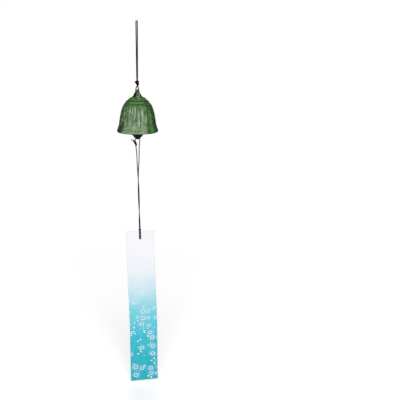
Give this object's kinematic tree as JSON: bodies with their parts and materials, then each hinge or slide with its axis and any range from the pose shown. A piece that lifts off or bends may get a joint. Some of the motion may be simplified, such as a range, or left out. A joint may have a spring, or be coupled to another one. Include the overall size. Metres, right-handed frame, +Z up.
{
  "type": "furin wind bell",
  "caption": "Small cast wind bell on a knotted cord, with a hanging clapper and a long paper strip on a thread that catches the breeze and rings it.",
  "frame": {"origin": "inside top of the cord's bight, where a hook or nail carries the wind bell", "axes": "+Z up, against the hanging direction; -Y is the front, the side the strip faces"},
  "size_m": [0.054, 0.054, 0.4847],
  "materials": {
    "bell_paint": "rough casting in green antique paint, rubbed pale on the high places",
    "cord_black": "matt black twisted cord",
    "thread_black": "matt black thread",
    "clapper_black": "dark iron",
    "strip_paper": "matt paper, white running into turquoise with pale rings"
  },
  "bodies": {
    "hanger": {"hanger_cord": "cord_black"},
    "cord_knot": {"hanger_knot": "cord_black"},
    "eye_loop": {"eye_loop": "cord_black"},
    "bell": {"bell_body": "bell_paint"},
    "neck_thread": {"stopper_knot": "thread_black", "neck_thread": "thread_black"},
    "clapper": {"clapper_thread": "thread_black", "clapper_knot": "thread_black", "clapper_tie": "thread_black", "clapper": "clapper_black"},
    "pull_loop": {"pull_loop": "thread_black", "loop_knot": "thread_black", "loop_tails": "thread_black"},
    "strip_thread": {"strip_thread": "thread_black"},
    "strip": {"strip_hitch": "thread_black", "paper_strip": "strip_paper"}
  },
  "joints": [
    {"name": "bell_turn", "type": "hinge", "parent": "hanger", "child": "cord_knot", "pos_m": [0, 0, -0.0762], "axis": [0, 0, 1], "range_deg": [-180, 180], "stiffness_Nm_per_rad": 0.00003},
    {"name": "loop_swing", "type": "hinge", "parent": "cord_knot", "child": "eye_loop", "pos_m": [0, 0, -0.08488], "axis": [0, 1, 0], "range_deg": [-40, 40]},
    {"name": "bell_swing", "type": "hinge", "parent": "eye_loop", "child": "bell", "pos_m": [0, 0, -0.08952], "axis": [1, 0, 0], "range_deg": [-40, 40]},
    {"name": "clapper_turn", "type": "hinge", "parent": "bell", "child": "neck_thread", "pos_m": [0, 0, -0.10128], "axis": [0, 0, 1], "range_deg": [-180, 180], "stiffness_Nm_per_rad": 0.00001},
    {"name": "clapper_swing", "type": "hinge", "parent": "neck_thread", "child": "clapper", "pos_m": [0, 0, -0.10128], "axis": [0, 1, 0], "range_deg": [-18, 18]},
    {"name": "pull_swing", "type": "hinge", "parent": "clapper", "child": "pull_loop", "pos_m": [0, 0, -0.15218], "axis": [1, 0, 0], "range_deg": [-45, 45]},
    {"name": "strip_turn", "type": "hinge", "parent": "pull_loop", "child": "strip_thread", "pos_m": [0, 0, -0.19517], "axis": [-0.0209, 0, 0.9998], "range_deg": [-180, 180], "stiffness_Nm_per_rad": 0.00001},
    {"name": "strip_flutter", "type": "hinge", "parent": "strip_thread", "child": "strip", "pos_m": [0.00167, 0, -0.27486], "axis": [0.996, 0.0872, 0.0209], "range_deg": [-60, 60]}
  ]
}
